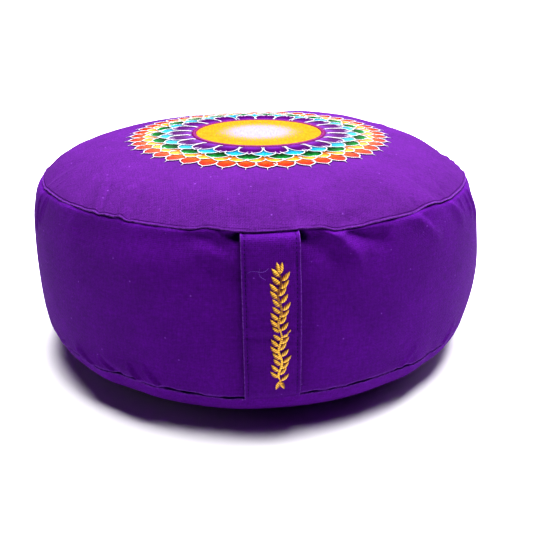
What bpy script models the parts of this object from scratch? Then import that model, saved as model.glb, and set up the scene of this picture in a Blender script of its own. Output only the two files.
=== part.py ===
"""Round boxed meditation cushion (zafu) with a flat carrying strap.

Metres, +Z up. The origin is the centre of the flat base, on the floor, and the strap
hangs on the -Y side. The filled cushion is one solid whose visible surface is the side
band. A thin canvas disc lies over its crown and another under its belly, and the strap
is let into the seam at each end.
"""

import math

import bmesh
import bpy

MM = 0.001

# Driving dimensions
HEIGHT = 164.5 * MM             # floor to the middle of the crown
TOP_SEAM_RADIUS = 165.6 * MM
TOP_SEAM_HEIGHT = 139.0 * MM
BOTTOM_SEAM_RADIUS = 173.8 * MM
BOTTOM_SEAM_HEIGHT = 30.0 * MM
FLAT_RADIUS = 108.0 * MM        # the part of the base that touches the floor
CROWN_POWER = 5.2               # flat in the middle, rolling over at the rim
BELLY = 7.8 * MM                # how far the band swells past a straight cone
BELLY_HEIGHT = 70.0 * MM        # where it is widest
BELLY_BIAS = 0.918              # under 1 sets the widest place above the middle
BELLY_ROUND = 0.75              # under 1 swells sooner beside the seams

CANVAS = 1.8 * MM               # a panel with its turned edge
STRAP_CANVAS = 1.6 * MM         # the strap is folded double
GAP = 0.3 * MM                  # between pieces that touch
LIP = 1.0 * MM                  # a panel's edge stands past the seam by this
LIP_ROUND = 0.4 * MM            # and its corner is eased by this
CHANNEL_DEPTH = 1.8 * MM        # the seam draws the filled cushion in
CHANNEL_DROP = 0.5 * MM         # the channel starts this far under the panel
CHANNEL_HEIGHT = 1.9 * MM
CHANNEL_FLARE = 0.8 * MM        # and opens into the band over this
BAND_FOOT = 5.0 * MM            # the band turns in to the bottom seam from this height over it
FOOT_CHANNEL = 2.2 * MM         # the channel over the bottom seam ends here

STRAP_WIDTH = 36.0 * MM
STRAP_ANGLE = -90.0             # degrees, the middle of the strap
STRAP_STAND_OFF = 0.5 * MM      # where the strap lies along the belly
STRAP_FREE_REACH = 12.7 * MM    # its free top hangs this far outside the top seam
STRAP_ENTRY = 2.1 * MM          # its inner face enters the seam this far under the panel
STRAP_LANDING = 98.0 * MM       # it nears the band here
STRAP_ON_BELLY = 80.0 * MM      # and lies on it from here down
STRAP_TUCK = 0.3 * MM           # its foot stands this far inside the bottom seam
STRAP_ROWS = 10                 # faces from the landing to the foot
STRAP_COLUMNS = 4

STEPS = 96                      # faces round the cushion
CROWN_RINGS = (0.28, 0.5, 0.68, 0.82, 0.92, 1.0)
BASE_RINGS = (0, 18, 36, 54, 72, 90)
BAND_RINGS = 12
WELD = 0.01 * MM
CREASE = 50.0                   # degrees, edges sharper than this stay sharp

# How far the uneven filling is felt
SEAM_REACH = 32.0 * MM          # above and below the top seam
BASE_REACH = 24.0 * MM          # above and below the bottom seam
CROWN_REACH = 6.0 * MM          # below the top seam, for the crown's puckers
RIM_POWER = 6                   # the rim moves, the middle of a panel hardly does

VIOLET_TOP = (0.150, 0.026, 0.395, 1.0)
VIOLET_BAND = (0.125, 0.018, 0.340, 1.0)
VIOLET_STRAP = (0.135, 0.021, 0.360, 1.0)
CANVAS_ROUGHNESS = 0.85

# Rise of each seam round the cushion. Columns: angle, rise in mm, half width in degrees.
TOP_SEAM_WAVES = (
    (-137, 1.0, 6),
    (-120, -1.3, 7),
    (-100, 1.4, 6),
    (-84, 1.6, 4),
    (-68, -1.9, 7),
    (-49, 1.4, 6),
    (-8, -0.8, 12),
    (38, 1.0, 14),
    (84, -0.9, 10),
    (131, 1.1, 13),
    (172, -0.7, 11),
)
BOTTOM_SEAM_WAVES = (
    (-121, 2.2, 6),
    (-98, -1.6, 9),
    (-62, 1.1, 12),
    (-15, -1.0, 10),
    (45, 1.2, 15),
    (105, -1.1, 12),
    (160, 0.9, 12),
)

# The band's folds. Columns: start angle and height in mm, end angle and height in mm,
# half width in mm, and push in mm, where a ridge is positive and a trough is negative.
BAND_FOLDS = (
    (-76.0, 138, -65.0, 114, 6.0, 2.4),
    (-73.0, 137, -64.0, 126, 7.0, -3.4),
    (-82.8, 137, -76.5, 121, 6.5, -2.6),
    (-56.5, 138, -49.0, 120, 5.0, 1.2),
    (-41.0, 138, -36.0, 124, 5.0, 1.2),
    (-106.0, 135, -98.5, 127, 6.0, -2.0),
    (-104.0, 126, -96.0, 120, 6.5, 1.6),
    (-101.5, 118, -94.0, 114, 7.0, -1.2),
    (-134.0, 126, -108.0, 131, 8.0, -1.3),
    (-138.0, 38, -130.0, 31, 6.0, 1.4),
    (-127.5, 42, -117.0, 34, 6.0, 1.3),
    (-20.0, 128, -4.0, 118, 9.0, -1.6),
    (12.0, 137, 20.0, 116, 8.0, 1.7),
    (48.0, 132, 66.0, 122, 9.0, -1.8),
    (88.0, 137, 95.0, 112, 8.0, 1.9),
    (112.0, 60, 140.0, 48, 10.0, -1.6),
    (126.0, 136, 133.0, 117, 8.0, -1.9),
    (160.0, 137, 168.0, 114, 8.0, 1.6),
    (20.0, 55, 44.0, 45, 10.0, -1.5),
    (-176.0, 130, -160.0, 121, 9.0, -1.4),
)

# Hollows pressed into the band. Columns: angle, height in mm, half arc and half height
# in mm, push in mm.
BAND_HOLLOWS = (
    (-90.0, 124, 26, 14, -5.0),     # behind the free top of the strap
    (-98.0, 136, 9, 6, -2.4),       # beside it, where the seam pulls the cloth in
    (-81.5, 135, 8, 8, -2.4),
    (0.0, 139, 75, 16, -2.6),       # the right-hand shoulder is slack
    (0.0, 60, 80, 25, 1.2),
    (180.0, 118, 70, 25, 1.3),      # the left-hand one is full
    (180.0, 68, 70, 28, -1.0),
    (180.0, 130, 60, 9, 0.9),       # up to the seam
)

# The crown's puckers and soft lumps. Columns: start angle and radius in mm, end angle
# and radius in mm, half width in mm, and rise in mm.
CROWN_FOLDS = (
    (-131.2, 165, -136.9, 142, 4.5, 1.1),
    (-130.1, 163, -133.7, 144, 4.5, -1.3),
    (-123.5, 165, -125.9, 142, 4.5, 1.1),
    (-121.6, 163, -123.8, 141, 4.5, -1.5),
    (-105.6, 163, -104.8, 149, 5.0, -1.0),
    (-76.0, 161, -70.0, 162, 6.0, -1.4),
    (-44.0, 164, -44.8, 142, 4.5, -1.2),
    (-38.0, 164, -40.5, 146, 4.5, -1.0),
    (10.0, 164, 12.0, 140, 6.0, -1.4),
    (34.0, 163, 32.0, 142, 6.0, 1.1),
    (-8.0, 157, 8.0, 157, 10.0, -1.4),
    (50.0, 132, 64.0, 128, 24.0, 2.4),
    (86.0, 120, 102.0, 120, 20.0, -1.1),
    (104.0, 163, 106.0, 141, 6.0, -1.3),
    (120.0, 118, 134.0, 134, 30.0, -0.5),
    (168.0, 151, -168.0, 151, 12.0, 1.3),
    (150.0, 164, 148.0, 140, 6.0, -1.2),
    (-160.0, 164, -161.0, 144, 6.0, -1.1),
)

# The strap's top, from the seam over its shoulder. Columns: mm outside the top seam, mm
# below the place where it enters.
STRAP_SHOULDER = (
    (-1.4, 0.0),
    (1.6, 0.0),
    (4.8, 0.3),
    (7.8, 1.3),
    (10.0, 3.6),
    (11.3, 7.0),
    (12.0, 12.5),
    (12.4, 19.0),
    (12.6, 27.0),
)


def clear_scene():
    for obj in list(bpy.data.objects):
        bpy.data.objects.remove(obj, do_unlink=True)


def new_collection(name):
    collection = bpy.data.collections.new(name)
    bpy.context.scene.collection.children.link(collection)
    return collection


def canvas_material(name, colour):
    material = bpy.data.materials.new(name)
    material.use_nodes = True
    shader = material.node_tree.nodes["Principled BSDF"]
    shader.inputs["Base Color"].default_value = colour
    shader.inputs["Roughness"].default_value = CANVAS_ROUGHNESS
    shader.inputs["Metallic"].default_value = 0.0
    return material


def bell(distance, half_width):
    """1 at distance 0, falling off smoothly to almost nothing at twice the half width."""
    return math.exp(-((distance / half_width) ** 2))


def turn_between(angle, other):
    """Signed difference of two angles in degrees, from -180 to 180."""
    return (angle - other + 180.0) % 360.0 - 180.0


def crown_point(fraction, depth):
    """(radius, height) on the crown at a fraction of the seam radius, depth below it."""
    radius = TOP_SEAM_RADIUS * fraction
    drop = HEIGHT - TOP_SEAM_HEIGHT
    height = HEIGHT - drop * fraction ** CROWN_POWER
    slope = -CROWN_POWER * drop / TOP_SEAM_RADIUS * fraction ** (CROWN_POWER - 1.0)
    length = math.hypot(slope, 1.0)
    return radius + depth * slope / length, height - depth / length


def band_radius(height):
    """Radius of the bellied band between the two seams."""
    down = (TOP_SEAM_HEIGHT - height) / (TOP_SEAM_HEIGHT - BOTTOM_SEAM_HEIGHT)
    straight = TOP_SEAM_RADIUS + (BOTTOM_SEAM_RADIUS - TOP_SEAM_RADIUS) * down
    swell = down ** BELLY_BIAS
    return straight + BELLY * (4.0 * swell * (1.0 - swell)) ** BELLY_ROUND


def base_point(degrees, depth):
    """(radius, height) on the rounded turn from the bottom seam (0) to the flat base (90)."""
    turn = math.radians(degrees)
    reach = BOTTOM_SEAM_RADIUS - FLAT_RADIUS
    normal_out = BOTTOM_SEAM_HEIGHT * math.cos(turn)
    normal_down = reach * math.sin(turn)
    length = math.hypot(normal_out, normal_down)
    radius = FLAT_RADIUS + reach * math.cos(turn) - depth * normal_out / length
    height = BOTTOM_SEAM_HEIGHT * (1.0 - math.sin(turn)) + depth * normal_down / length
    return radius, height


def seam_rise(angle, waves):
    return sum(rise * MM * bell(turn_between(angle, at), width) for at, rise, width in waves)


def fold_amount(across_1, along_1, across_2, along_2, half_width):
    """How strongly a point at the origin feels a fold between two points, all in mm."""
    run = (across_2 - across_1, along_2 - along_1)
    length = math.hypot(*run)
    place = -(across_1 * run[0] + along_1 * run[1]) / length ** 2
    inside = min(max(place, 0.0), 1.0)
    near = math.hypot(across_1 + inside * run[0], along_1 + inside * run[1])
    return bell(near, half_width)


def band_push(angle, height):
    """How far the band's folds and hollows move it out at an angle and a height."""
    arc = math.radians(1.0) * band_radius(BELLY_HEIGHT) / MM
    level = height / MM
    push = 0.0
    for angle_1, height_1, angle_2, height_2, half_width, out in BAND_FOLDS:
        start = turn_between(angle_1, angle) * arc
        end = start + turn_between(angle_2, angle_1) * arc
        push += out * fold_amount(start, height_1 - level, end, height_2 - level, half_width)
    for at, at_height, half_arc, half_height, out in BAND_HOLLOWS:
        push += out * bell(turn_between(angle, at) * arc, half_arc) * bell(level - at_height, half_height)
    return push * MM


def crown_rise(angle, radius):
    """How far the crown's puckers and lumps lift it at an angle and a radius."""
    reach = radius / MM
    arc = math.radians(1.0) * reach
    rise = 0.0
    for angle_1, radius_1, angle_2, radius_2, half_width, up in CROWN_FOLDS:
        start = turn_between(angle_1, angle) * arc
        end = start + turn_between(angle_2, angle_1) * arc
        rise += up * fold_amount(start, radius_1 - reach, end, radius_2 - reach, half_width)
    return rise * MM


def settle(x, y, z, with_folds=True):
    """Move a point of the true round form to where the uneven filling leaves it.

    Every piece is moved by the same soft field, so they keep their gaps.
    """
    radius = math.hypot(x, y)
    if radius < WELD:
        return x, y, z
    angle = math.degrees(math.atan2(y, x))
    at_rim = min(radius / TOP_SEAM_RADIUS, 1.0) ** RIM_POWER
    height = min(max(z, BOTTOM_SEAM_HEIGHT), TOP_SEAM_HEIGHT)
    above_floor = min(z / BOTTOM_SEAM_HEIGHT, 1.0)
    push = band_push(angle, height) * at_rim * above_floor if with_folds else 0.0
    near_top = bell(z - TOP_SEAM_HEIGHT, SEAM_REACH)
    near_base = bell(z - BOTTOM_SEAM_HEIGHT, BASE_REACH) * above_floor
    rise = seam_rise(angle, TOP_SEAM_WAVES) * at_rim * near_top
    rise += seam_rise(angle, BOTTOM_SEAM_WAVES) * at_rim * near_base
    rise += crown_rise(angle, radius) * bell(max(TOP_SEAM_HEIGHT - z, 0.0), CROWN_REACH)
    grown = (radius + push) / radius
    return x * grown, y * grown, z + rise


def turned_piece(name, profile, material, collection):
    """Turn a closed (radius, height) profile about Z, then settle it on its filling.

    The profile starts and ends on the axis and runs down the outer side.
    """
    outline = bmesh.new()
    corners = [outline.verts.new((radius, 0.0, height)) for radius, height in profile]
    for first, second in zip(corners, corners[1:]):
        outline.edges.new((first, second))
    mesh = bpy.data.meshes.new(name + "_profile")
    outline.to_mesh(mesh)
    outline.free()
    turned = bpy.data.objects.new(name + "_profile", mesh)
    collection.objects.link(turned)
    screw = turned.modifiers.new("Turn", "SCREW")
    screw.steps = STEPS
    screw.render_steps = STEPS
    screw.use_merge_vertices = True
    screw.merge_threshold = WELD
    bpy.context.view_layer.update()
    evaluated = turned.evaluated_get(bpy.context.evaluated_depsgraph_get())
    solid_mesh = bpy.data.meshes.new_from_object(evaluated)
    bpy.data.objects.remove(turned, do_unlink=True)

    solid = bmesh.new()
    solid.from_mesh(solid_mesh)
    bmesh.ops.remove_doubles(solid, verts=solid.verts, dist=WELD)
    for vertex in solid.verts:
        vertex.co = settle(*vertex.co)
    # Split each bent face along its shorter diagonal, so that facing surfaces match.
    bmesh.ops.triangulate(solid, faces=solid.faces, quad_method="SHORT_EDGE")
    bmesh.ops.recalc_face_normals(solid, faces=solid.faces)
    solid.to_mesh(solid_mesh)
    solid.free()
    solid_mesh.name = name
    solid_mesh.shade_smooth()
    solid_mesh.set_sharp_from_angle(angle=math.radians(CREASE))
    solid_mesh.materials.clear()
    solid_mesh.materials.append(material)
    piece = bpy.data.objects.new(name, solid_mesh)
    collection.objects.link(piece)
    return piece


def build_cushion(collection):
    """The filled solid, one canvas thickness inside both panels, the band in between."""
    under_canvas = CANVAS + GAP
    channel_radius = TOP_SEAM_RADIUS - CHANNEL_DEPTH
    channel_top = TOP_SEAM_HEIGHT - under_canvas - CHANNEL_DROP
    channel_foot = channel_top - CHANNEL_HEIGHT
    band_top = channel_foot - CHANNEL_FLARE
    band_foot = BOTTOM_SEAM_HEIGHT + BAND_FOOT
    profile = [(0.0, HEIGHT - under_canvas)]
    profile += [crown_point(fraction, under_canvas) for fraction in CROWN_RINGS]
    profile += [(channel_radius, channel_top), (channel_radius, channel_foot)]
    for ring in range(BAND_RINGS + 1):
        height = band_top + (band_foot - band_top) * ring / BAND_RINGS
        profile.append((band_radius(height), height))
    profile += [(BOTTOM_SEAM_RADIUS - under_canvas, BOTTOM_SEAM_HEIGHT + FOOT_CHANNEL)]
    profile += [base_point(degrees, under_canvas) for degrees in BASE_RINGS]
    profile += [(0.0, under_canvas)]
    material = canvas_material("violet_canvas_band", VIOLET_BAND)
    return turned_piece("cushion", profile, material, collection)


def build_top_panel(collection):
    """A canvas disc over the crown, its edge standing as a lip over the top seam."""
    lip_radius = TOP_SEAM_RADIUS + LIP
    profile = [(0.0, HEIGHT)]
    profile += [crown_point(fraction, 0.0) for fraction in CROWN_RINGS]
    profile += [(lip_radius, TOP_SEAM_HEIGHT - LIP_ROUND), (lip_radius, TOP_SEAM_HEIGHT - CANVAS)]
    profile += [crown_point(fraction, CANVAS) for fraction in reversed(CROWN_RINGS)]
    profile += [(0.0, HEIGHT - CANVAS)]
    material = canvas_material("violet_canvas_top", VIOLET_TOP)
    return turned_piece("top_panel", profile, material, collection)


def build_bottom_panel(collection):
    """A canvas disc turned under the belly, flat on the floor inside FLAT_RADIUS."""
    lip_radius = BOTTOM_SEAM_RADIUS + LIP
    lip_foot = BOTTOM_SEAM_HEIGHT - CANVAS + LIP_ROUND
    profile = [(0.0, CANVAS)]
    profile += [base_point(degrees, CANVAS) for degrees in reversed(BASE_RINGS)]
    profile += [(lip_radius, BOTTOM_SEAM_HEIGHT), (lip_radius, lip_foot)]
    profile += [base_point(degrees, 0.0) for degrees in BASE_RINGS[1:]]
    profile += [(0.0, 0.0)]
    material = canvas_material("violet_canvas_base", VIOLET_BAND)
    return turned_piece("bottom_panel", profile, material, collection)


def strap_route():
    """(radius, height) of the strap's inner face, from the top seam to the bottom one.

    It leaves the seam level, rolls over a soft shoulder, falls free to the belly and
    follows the belly down to the lip of the bottom panel.
    """
    entry = TOP_SEAM_HEIGHT - CANVAS - STRAP_ENTRY
    route = [(TOP_SEAM_RADIUS + out * MM, entry - down * MM) for out, down in STRAP_SHOULDER]
    free_radius = TOP_SEAM_RADIUS + STRAP_FREE_REACH
    foot = BOTTOM_SEAM_HEIGHT + BAND_FOOT
    for row in range(STRAP_ROWS + 1):
        height = STRAP_LANDING + (foot - STRAP_LANDING) * row / STRAP_ROWS
        radius = band_radius(height) + STRAP_STAND_OFF
        if height > STRAP_ON_BELLY:
            radius = max(radius, free_radius)
        route.append((radius, height))
    tucked_in = BOTTOM_SEAM_RADIUS - STRAP_TUCK
    route.append((tucked_in, BOTTOM_SEAM_HEIGHT + FOOT_CHANNEL))
    route.append((tucked_in, BOTTOM_SEAM_HEIGHT + GAP))
    return route


def build_strap(collection):
    """The flat strap: an open strip along its route, wrapped round the band, given its
    thickness outwards by Solidify."""
    route = strap_route()
    rows = len(route) - 1
    strip = bmesh.new()
    bmesh.ops.create_grid(strip, x_segments=STRAP_COLUMNS, y_segments=rows, size=0.5)
    for vertex in strip.verts:
        across = vertex.co.x * STRAP_WIDTH
        radius, height = route[round((0.5 - vertex.co.y) * rows)]
        angle = math.radians(STRAP_ANGLE) + across / band_radius(BELLY_HEIGHT)
        vertex.co = settle(radius * math.cos(angle), radius * math.sin(angle), height, with_folds=False)
    mesh = bpy.data.meshes.new("strap_handle")
    strip.to_mesh(mesh)
    strip.free()
    mesh.shade_smooth()
    mesh.materials.append(canvas_material("violet_canvas_strap", VIOLET_STRAP))
    strap = bpy.data.objects.new("strap_handle", mesh)
    collection.objects.link(strap)
    thickness = strap.modifiers.new("Thickness", "SOLIDIFY")
    thickness.thickness = STRAP_CANVAS
    thickness.offset = 1.0
    thickness.use_even_offset = True
    return strap


def main():
    clear_scene()
    collection = new_collection("zafu_cushion")
    build_cushion(collection)
    build_top_panel(collection)
    build_bottom_panel(collection)
    build_strap(collection)


main()
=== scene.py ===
import math

import bmesh
import bpy
import numpy as np
from mathutils import Matrix, Vector


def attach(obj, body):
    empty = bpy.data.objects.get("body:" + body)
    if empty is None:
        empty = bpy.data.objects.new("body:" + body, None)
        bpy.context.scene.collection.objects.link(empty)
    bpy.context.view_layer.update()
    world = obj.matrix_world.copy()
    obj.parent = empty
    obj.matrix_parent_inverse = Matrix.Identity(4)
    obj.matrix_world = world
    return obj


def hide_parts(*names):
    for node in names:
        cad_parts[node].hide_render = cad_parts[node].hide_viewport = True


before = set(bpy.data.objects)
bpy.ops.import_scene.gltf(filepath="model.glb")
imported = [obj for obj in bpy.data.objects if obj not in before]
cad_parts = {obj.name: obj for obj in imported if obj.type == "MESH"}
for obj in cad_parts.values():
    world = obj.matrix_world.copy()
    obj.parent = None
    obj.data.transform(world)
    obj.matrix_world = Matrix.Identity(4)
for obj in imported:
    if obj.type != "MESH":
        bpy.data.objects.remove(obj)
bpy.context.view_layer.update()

# ---- The camera
# It stands 37 cm in front of the strap and 28 cm above the floor, and looks down over
# the front edge of the crown with a normal lens.
MM = 0.001
CAMERA_PLACE = Vector((-24.7, -544.9, 276.6)) * MM
SIGHT_LINE = Vector((0.0677, 0.9149, -0.3980)).normalized()
LENS_MM = 44.6
SENSOR_MM = 36.0



def linked(name, data):
    """A new object of this data, in the scene."""
    thing = bpy.data.objects.new(name, data)
    bpy.context.scene.collection.objects.link(thing)
    return thing


def aim(thing, place, way):
    """Put a camera or a lamp at a place and turn it to face a way."""
    thing.location = place
    thing.rotation_mode = "QUATERNION"
    thing.rotation_quaternion = way.to_track_quat("-Z", "Y")


camera_data = bpy.data.cameras.new("camera")
camera_data.lens = LENS_MM
camera_data.sensor_width = SENSOR_MM
camera = linked("camera", camera_data)
aim(camera, CAMERA_PLACE, SIGHT_LINE)
bpy.context.scene.camera = camera

# ---- The filled cushion and its side band
# A strip of violet plain-woven cotton canvas, sewn right side in to both round panels
# and then turned out and filled tight with hulls, so that it bellies between the seams,
# is drawn in along them, and wrinkles where the cloth was eased.
HEIGHT = 164.5
TOP_SEAM_RADIUS, TOP_SEAM_HEIGHT = 165.6, 139.0
BOTTOM_SEAM_RADIUS, BOTTOM_SEAM_HEIGHT = 173.8, 30.0
FLAT_RADIUS = 108.0  # of the patch it rests on
CROWN_POWER = 5.2  # the higher, the flatter the crown and the tighter its edge
BELLY, BELLY_HEIGHT, BELLY_BIAS, BELLY_ROUND = 7.8, 70.0, 0.918, 0.75
CANVAS = 1.8  # thickness of a panel
GAP = 0.3  # from a panel to the filled cushion
STEPS = 960  # faces round the cushion, 1.1 mm each
SECTORS = 16  # one wedge is spun and the others are turned copies of it
WELD = 0.01
ONE_DEGREE = math.radians(1.0)
ROOT_ANGLE = -95.0  # where the top panel feels the strap's root
EASED_ANGLE = -124.0  # where most cloth was eased into the lower seam

# Rise of each seam round the cushion. Columns: angle, rise in mm, half width in degrees.
TOP_SEAM_WAVES = (
    (-150, 1.5, 8), (-137, 2.0, 7), (-125, 2.2, 7), (-113, 1.7, 7), (-102.5, 2.7, 4), (-96, 0.5, 3),
    (-90, 1.1, 4.5), (-83.5, 1.3, 4), (-78.7, 1.1, 2.5), (-75.7, -0.5, 2), (-60, 0.5, 6), (-49, 2.0, 6),
    (-8, -0.8, 12), (38, 1.0, 14), (84, -0.9, 10), (131, 1.1, 13), (172, -0.7, 11),
)
BOTTOM_SEAM_WAVES = (
    (-121, 2.2, 6), (-98, -1.6, 9), (-62, 1.1, 12), (-15, -1.0, 10), (45, 1.2, 15),
    (105, -1.1, 12), (160, 0.9, 12),
)
TOP_WAVE_REACH, BOTTOM_WAVE_REACH = 32.0, 24.0  # how far from a seam its waves are felt
SEAM_HOLD, SEAM_HOLD_REACH = 0.75, 3.0  # how flat the top seam holds the band's folds
CROWN_FADE = 6.0  # how far below the top seam the crown's folds are felt

# The band's folds. Columns: start angle and height, end angle and height, half width,
# and push, in degrees and mm. A ridge is positive and a trough is negative.
BAND_FOLDS = (
    (-76.4, 138, -71.2, 121, 3.6, 2.3), (-72.6, 135, -65, 129, 5, -3.2),
    (-82.8, 137, -76.5, 121, 6.5, -2.6), (-56.5, 138, -49, 120, 5, 1.2), (-41, 138, -36, 124, 5, 1.2),
    (-106, 135, -98.5, 127, 6, -2), (-104, 126, -96, 120, 6, 2.1), (-101.5, 117, -95, 113, 5.5, -1.9),
    (-134, 126, -108, 131, 8, -1.3), (-138, 38, -130, 31, 6, 1.6), (-127.5, 42, -117, 34, 6, 1.6),
    (-20, 128, -4, 118, 9, -1.6), (12, 137, 20, 116, 8, 1.7), (48, 132, 66, 122, 9, -1.8),
    (88, 137, 95, 112, 8, 1.9), (112, 60, 140, 48, 10, -1.6), (126, 136, 133, 117, 8, -1.9),
    (160, 137, 168, 114, 8, 1.6), (20, 55, 44, 45, 10, -1.5), (-176, 130, -160, 121, 9, -1.4),
    # Narrow creases, which only the cloth itself shows.
    (-75, 137, -70, 127, 2.4, 0.8), (-72, 136, -66.5, 128, 2.2, -0.7), (-55.5, 138, -51, 126, 2, 0.7),
    (-53.5, 138, -50, 129, 1.8, -0.5), (-40.5, 138, -37.5, 130, 2, 0.6),
    (-104.5, 134, -99.5, 129, 2.2, -0.8), (-102, 126, -97, 122, 2.2, 0.6),
    (-138, 39, -133, 33, 1.4, 1.7), (-135, 37, -131.5, 32, 1.4, -0.7), (-130.5, 41, -127, 33, 1.4, 1.8),
    (-128, 39, -125, 32, 1.4, -0.7), (-121.5, 41, -119, 32, 1.3, 1.8),
    (-119.8, 39, -117.6, 32, 1.3, -0.6), (-117.6, 44, -114.6, 32, 1.3, 1.8),
    (-115.6, 40, -113.4, 32, 1.3, -0.5), (-157, 138, -159, 110, 1.8, 1.5),
    (-153, 138, -155.5, 118, 1.6, 1.3), (-151, 138, -152.5, 124, 1.4, -0.7),
    (-27, 138, -24.5, 114, 1.7, 1.3), (-30.5, 138, -28.5, 121, 1.5, 1.1),
    (-35.5, 138, -33, 125, 1.5, 0.7), (8, 138, 14, 118, 2.6, 1.2), (11.5, 138, 17.5, 122, 2.4, -1),
    (31, 138, 27, 124, 2.2, 1), (58, 138, 63.5, 117, 2.8, 1.3), (62, 138, 66.5, 122, 2.4, -0.9),
    (79, 138, 76, 125, 2.2, 0.9), (101, 138, 107, 119, 2.8, 1.3), (104.5, 138, 110, 124, 2.4, -1),
    (146, 138, 141, 121, 2.6, 1.2), (149.5, 138, 145, 125, 2.2, -0.8), (176, 138, 172, 123, 2.4, 1),
    (24, 46, 19, 32, 1.8, 1.2), (27.5, 42, 23, 32, 1.6, -0.7), (71, 47, 76, 32, 1.9, 1.2),
    (94, 45, 90, 32, 1.8, 1.1), (97, 41, 93.5, 32, 1.6, -0.7), (136, 48, 141, 32, 2, 1.3),
    (152, 44, 149, 32, 1.8, 1), (-38, 44, -42, 32, 1.6, 1.1), (-55, 45, -58.5, 32, 1.6, 1),
)

# Hollows and bulges of the band. Columns: angle, height, half arc, half height, push.
BAND_HOLLOWS = (
    (-90, 124, 26, 14, -5), (-98, 136, 9, 6, -2.4), (-81.5, 135, 8, 8, -2.4), (0, 139, 75, 16, -2.6),
    (0, 60, 80, 25, 1.2), (180, 118, 70, 25, 1.3), (180, 68, 70, 28, -1), (180, 130, 60, 9, 0.9),
    # Deep little pockets beside the strap's root, which only the cloth itself shows.
    (-96.7, 135.4, 3.6, 2.4, -8), (-98.8, 136.4, 4.2, 1.7, -3), (-83.2, 134.9, 2.6, 3.8, -8),
    (-83, 80, 5, 42, -0.9),
    # The belly starts higher on the right and on the left, and beside the strap's hollow.
    (-19, 123, 36, 18, 2.2), (-17, 133, 26, 6, 0.6), (-19, 74, 46, 40, 2.6), (-164, 125, 26, 13, 1.6),
    (-114, 112, 30, 17, 3.3),
)

# The crown's puckers and soft lumps. Columns: start angle and radius, end angle and
# radius, half width, and rise.
CROWN_FOLDS = (
    (-131.2, 165, -136.9, 144, 3, 1), (-130.1, 163, -133.7, 146, 3, -1),
    (-123.5, 165, -125.9, 144, 3, 1), (-121.6, 163, -123.8, 143, 3, -1.1),
    (-105.6, 163, -104.8, 150, 3.4, -0.9), (-76, 161, -70, 162, 6, -1.2),
    (-44, 164, -44.8, 146, 4, -0.7), (-38, 164, -40.5, 149, 4, -0.6), (10, 164, 12, 140, 6, -1.4),
    (34, 163, 32, 142, 6, 1.1), (-8, 157, 8, 156, 9.5, -3.2), (50, 132, 64, 128, 24, 2.4),
    (86, 120, 102, 120, 20, -1.1), (104, 163, 106, 141, 6, -1.3), (120, 118, 134, 134, 30, -0.5),
    (168, 151, -168, 151, 12, 1.3), (150, 164, 148, 140, 6, -1.2), (-160, 164, -161, 144, 6, -1.1),
    # Narrow creases, which only the cloth itself shows.
    (-130.6, 164, -136, 148, 1.7, 0.25), (-123, 164, -125.5, 149, 1.7, 0.25),
    (-45.5, 164, -45.5, 143, 1.6, -0.4), (-43, 164, -40.5, 144, 1.6, -0.4),
    (-39.5, 164, -37.5, 148, 1.6, -0.4), (-75.5, 157, -70.5, 156, 3, 0.5),
)


def bell(distance, half_width):
    """1 at distance 0, falling off smoothly to almost nothing at twice the half width."""
    return np.exp(-((distance / half_width) ** 2))


def turn_between(angle, other):
    """Signed difference of two angles in degrees, from -180 to 180."""
    return (angle - other + 180.0) % 360.0 - 180.0


def crown_point(fraction, depth=0.0):
    """(radius, height) on the crown at a fraction of the seam radius, depth below it."""
    drop = HEIGHT - TOP_SEAM_HEIGHT
    slope = -CROWN_POWER * drop / TOP_SEAM_RADIUS * fraction ** (CROWN_POWER - 1.0)
    length = math.hypot(slope, 1.0)
    height = HEIGHT - drop * fraction ** CROWN_POWER
    return TOP_SEAM_RADIUS * fraction + depth * slope / length, height - depth / length


def band_radius(height):
    """Radius of the bellied band between the two seams."""
    down = np.clip((TOP_SEAM_HEIGHT - height) / (TOP_SEAM_HEIGHT - BOTTOM_SEAM_HEIGHT), 0.0, 1.0)
    swell = down ** BELLY_BIAS
    straight = TOP_SEAM_RADIUS + (BOTTOM_SEAM_RADIUS - TOP_SEAM_RADIUS) * down
    return straight + BELLY * (4.0 * swell * (1.0 - swell)) ** BELLY_ROUND


def base_point(degrees, depth=0.0):
    """(radius, height) on the rounded turn from the bottom seam (0) to the flat base (90)."""
    turn = math.radians(degrees)
    reach = BOTTOM_SEAM_RADIUS - FLAT_RADIUS
    out, down = BOTTOM_SEAM_HEIGHT * math.cos(turn), reach * math.sin(turn)
    length = math.hypot(out, down)
    radius = FLAT_RADIUS + reach * math.cos(turn) - depth * out / length
    return radius, BOTTOM_SEAM_HEIGHT * (1.0 - math.sin(turn)) + depth * down / length


def fold_push(folds, angle, level, arc):
    """How far folds move each point, in mm, where a degree is this arc long."""
    push = np.zeros_like(angle)
    for angle_1, level_1, angle_2, level_2, half_width, out in folds:
        # Both ends of the fold as the point sees them, and the fold's place nearest to it.
        across_1, along_1 = turn_between(angle_1, angle) * arc, level_1 - level
        across_2, along_2 = across_1 + turn_between(angle_2, angle_1) * arc, level_2 - level
        run = across_2 - across_1, along_2 - along_1
        place = -(across_1 * run[0] + along_1 * run[1]) / (run[0] ** 2 + run[1] ** 2)
        inside = np.clip(place, 0.0, 1.0)
        push += out * bell(np.hypot(across_1 + inside * run[0], along_1 + inside * run[1]), half_width)
    return push


def band_push(angle, height):
    """How far the band's folds and hollows move it out, in mm."""
    arc = ONE_DEGREE * band_radius(BELLY_HEIGHT)
    push = fold_push(BAND_FOLDS, angle, height, arc)
    for at, at_height, half_arc, half_height, out in BAND_HOLLOWS:
        push += out * bell(turn_between(angle, at) * arc, half_arc) * bell(height - at_height, half_height)
    return push


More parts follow.
